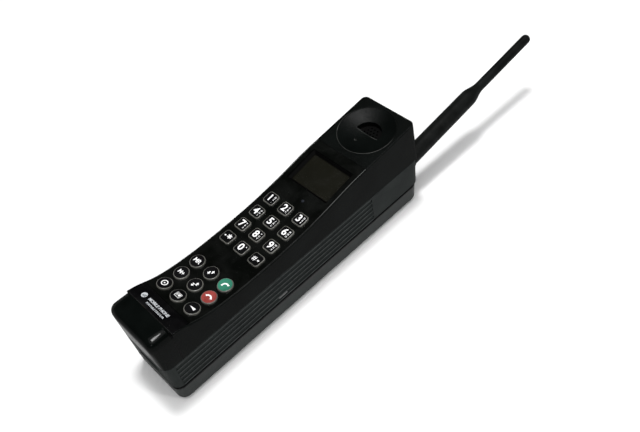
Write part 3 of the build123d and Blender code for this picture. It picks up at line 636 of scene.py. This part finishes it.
def key_legend(name):
    """The meshes of one key's legend, in millimetres on the key's top."""
    if name in LETTERS:
        digit = letters(name, DIGIT_SIZE, DIGIT_AT, 0.13)
        column = [letters(letter, LETTER_SIZE, (LETTER_ACROSS, LETTER_STEP - LETTER_STEP * i), 0.04)
                  for i, letter in enumerate(LETTERS[name])]
        return [digit] + column
    if name == "star":
        return [letters("*", DIGIT_SIZE * 1.05, (1.0, -0.65), 0.12), outline([arrow((-2.0, 0), 90, 0.8)])]
    if name == "hash":
        return [letters("#", DIGIT_SIZE * 0.7, (-1.1, 0), 0.02), outline([arrow((1.9, 0), -90, 0.9)])]
    if name == "recall":
        return [letters("MR", 3.9, (0, 0), 0.06, 0.95)]
    if name == "store":
        return [letters("M+", 3.5, (0, 0), 0.06, 0.95)]
    if name == "up":
        return [sign_arrows(0.8)]
    if name == "down":
        return [sign_arrows(1.0), outline([rectangle(3.4, 0.3)])]
    if name == "call":
        return [outline([handset(35, (0, 0.2), 1.1)])]
    if name == "end":
        return [outline([handset(0, (0, 0.4), 1.1)])]
    if name == "power":
        return [sign_power()]
    if name == "message":
        return [sign_message()]
    return [sign_volume()]


COLOURED_CAPS = {"call": cap_green, "end": cap_red}


def key_place(node, axis):
    """A matrix from millimetres on a key's top to the row frame, read from the key's mesh and its joint."""
    normal = -axis.normalized()
    across = Vector((1, 0, 0))
    up = normal.cross(across)
    points = [v.co.copy() for v in NODES[node].data.vertices]
    top = max(p.dot(normal) for p in points)
    crown = [p for p in points if p.dot(normal) > top - 0.00002]
    x = (min(p.x for p in crown) + max(p.x for p in crown)) / 2
    along = (min(p.dot(up) for p in crown) + max(p.dot(up) for p in crown)) / 2
    centre = across * x + up * along + normal * top
    turn = Matrix((across, up, normal)).transposed().to_4x4()
    return Matrix.Translation(centre) @ turn @ Matrix.Scale(MM, 4)


def cap_plate(square):
    """A thin plate that covers most of a key's top."""
    width, height, radius = CAP_PLATE
    loop = round_rectangle(width, height, radius) if square else circle(ROUND_PLATE_RADIUS, count=56)
    return joined("plate", [outline([loop], CAP_PLATE_THICK)])


for node_name in sorted(name for name in NODES if name.startswith("key_")):
    short = node_name[len("key_"):]
    body = node_name + "_body"
    place = key_place(node_name, AXES[body])
    NODES[node_name].data.materials.clear()
    NODES[node_name].data.materials.append(key_body)
    plate = cap_plate(square=short in LETTERS or short in ("star", "hash"))
    plate.transform(place @ Matrix.Translation((0, 0, CAP_PLATE_THICK / 2 - CAP_SUNK)))
    add_piece(node_name + "_top", plate, COLOURED_CAPS.get(short, cap_black), body)
    legend = joined("legend", key_legend(short))
    legend.transform(place @ Matrix.Translation((0, 0, CAP_PLATE_THICK + INK_THICK / 2 - INK_SUNK)))
    add_piece(node_name + "_legend", legend, white_ink, body)


# ---------------------------------------------------------------- lettering on the strip

def drape(mesh, node, lift):
    """Lets a mesh drawn flat in the row frame down on a node, keeping its own thickness."""
    shape = NODES[node].data
    tree = BVHTree.FromPolygons([v.co for v in shape.vertices], [p.vertices for p in shape.polygons])
    for vertex in mesh.vertices:
        hit = tree.ray_cast(Vector((vertex.co.x, vertex.co.y, 1.0)), Vector((0, 0, -1)))
        vertex.co.z = hit[0].z + lift + (INK_THICK * MM if vertex.co.z > 0 else 0.0)


def label():
    """Plain lettering and a round badge with rising bars, laid on the strip."""
    low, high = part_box("label_plate")
    middle_y = (low[1] + high[1]) / 2 / MM
    badge = [circle(1.8, (-11.8, -0.1))]
    badge += [rectangle(0.4, 0.5 + 0.5 * i, (-12.85 + 0.7 * i, -0.85 + 0.25 * i)) for i in range(4)]
    first_line = letters("MOBILE PHONE", 2.5, (0.9, 0.2), 0.08)
    second_line = letters("PORTABLE CELLULAR", 1.6, (1.2, -2.4), 0.04)
    mesh = joined("label", [first_line, second_line, outline(badge)])
    mesh.transform(Matrix.Scale(MM, 4) @ Matrix.Translation((0, middle_y, 0)))
    drape(mesh, "label_plate", 0.00001)
    add_piece("strip_lettering", mesh, grey_ink, BODY)


label()


# ---------------------------------------------------------------- stage, light and camera

def floor():
    """A plain white floor just under the phone."""
    mesh = bpy.data.meshes.new("floor")
    shape = bmesh.new()
    bmesh.ops.create_grid(shape, x_segments=1, y_segments=1, size=FLOOR_REACH)
    shape.to_mesh(mesh)
    shape.free()
    piece = bpy.data.objects.new("floor", mesh)
    piece.location.z = cad_low[2] - FLOOR_GAP
    bpy.context.scene.collection.objects.link(piece)
    m = Nodes("floor_white")
    tone = m.spread(m.noise(3, 2), 0.3, 0.7, 0, 1)
    mesh.materials.append(m.finish(m.mix(tone, (0.9, 0.9, 0.9), (0.88, 0.88, 0.88)),
                                   m.spread(tone, 0, 1, 0.7, 0.8)))


def area_light(name, at, target, side, power):
    """A square soft light that faces a place."""
    data = bpy.data.lights.new(name, "AREA")
    data.size = side
    data.energy = power
    light = bpy.data.objects.new(name, data)
    light.location = at
    light.rotation_mode = "QUATERNION"
    light.rotation_quaternion = (Vector(target) - Vector(at)).to_track_quat("-Z", "Y")
    bpy.context.scene.collection.objects.link(light)


def camera():
    """The photograph's view."""
    data = bpy.data.cameras.new("camera")
    data.lens = LENS
    data.sensor_width = SENSOR
    data.clip_start, data.clip_end = 0.01, 50
    view = bpy.data.objects.new("camera", data)
    back = -CAMERA_LOOK.normalized()
    right = CAMERA_UP.cross(back).normalized()
    up = back.cross(right)
    view.matrix_world = Matrix.Translation(CAMERA_AT) @ Matrix((right, up, back)).transposed().to_4x4()
    bpy.context.scene.collection.objects.link(view)
    bpy.context.scene.camera = view


def surroundings():
    """A room that is white behind the floor's edge, grey above that and dark overhead."""
    world = bpy.data.worlds.new("world")
    world.use_nodes = True
    tree = world.node_tree
    direction = tree.nodes.new("ShaderNodeTexCoord").outputs["Generated"]
    split = tree.nodes.new("ShaderNodeSeparateXYZ")
    tree.links.new(direction, split.inputs["Vector"])
    total = tree.nodes.new("ShaderNodeMath")
    for band, share in zip((WHITE_BAND, GREY_BAND), total.inputs):
        ramp = tree.nodes.new("ShaderNodeMapRange")
        for key, number in zip(RANGE_SOCKETS, band):
            ramp.inputs[key].default_value = number
        tree.links.new(split.outputs["Z"], ramp.inputs["Value"])
        tree.links.new(ramp.outputs["Result"], share)
    tree.links.new(total.outputs["Value"], tree.nodes["Background"].inputs["Strength"])
    bpy.context.scene.world = world


floor()
for light_name, settings in LIGHTS.items():
    area_light(light_name, *settings)
camera()
surroundings()
bpy.context.scene.view_settings.view_transform = "Standard"
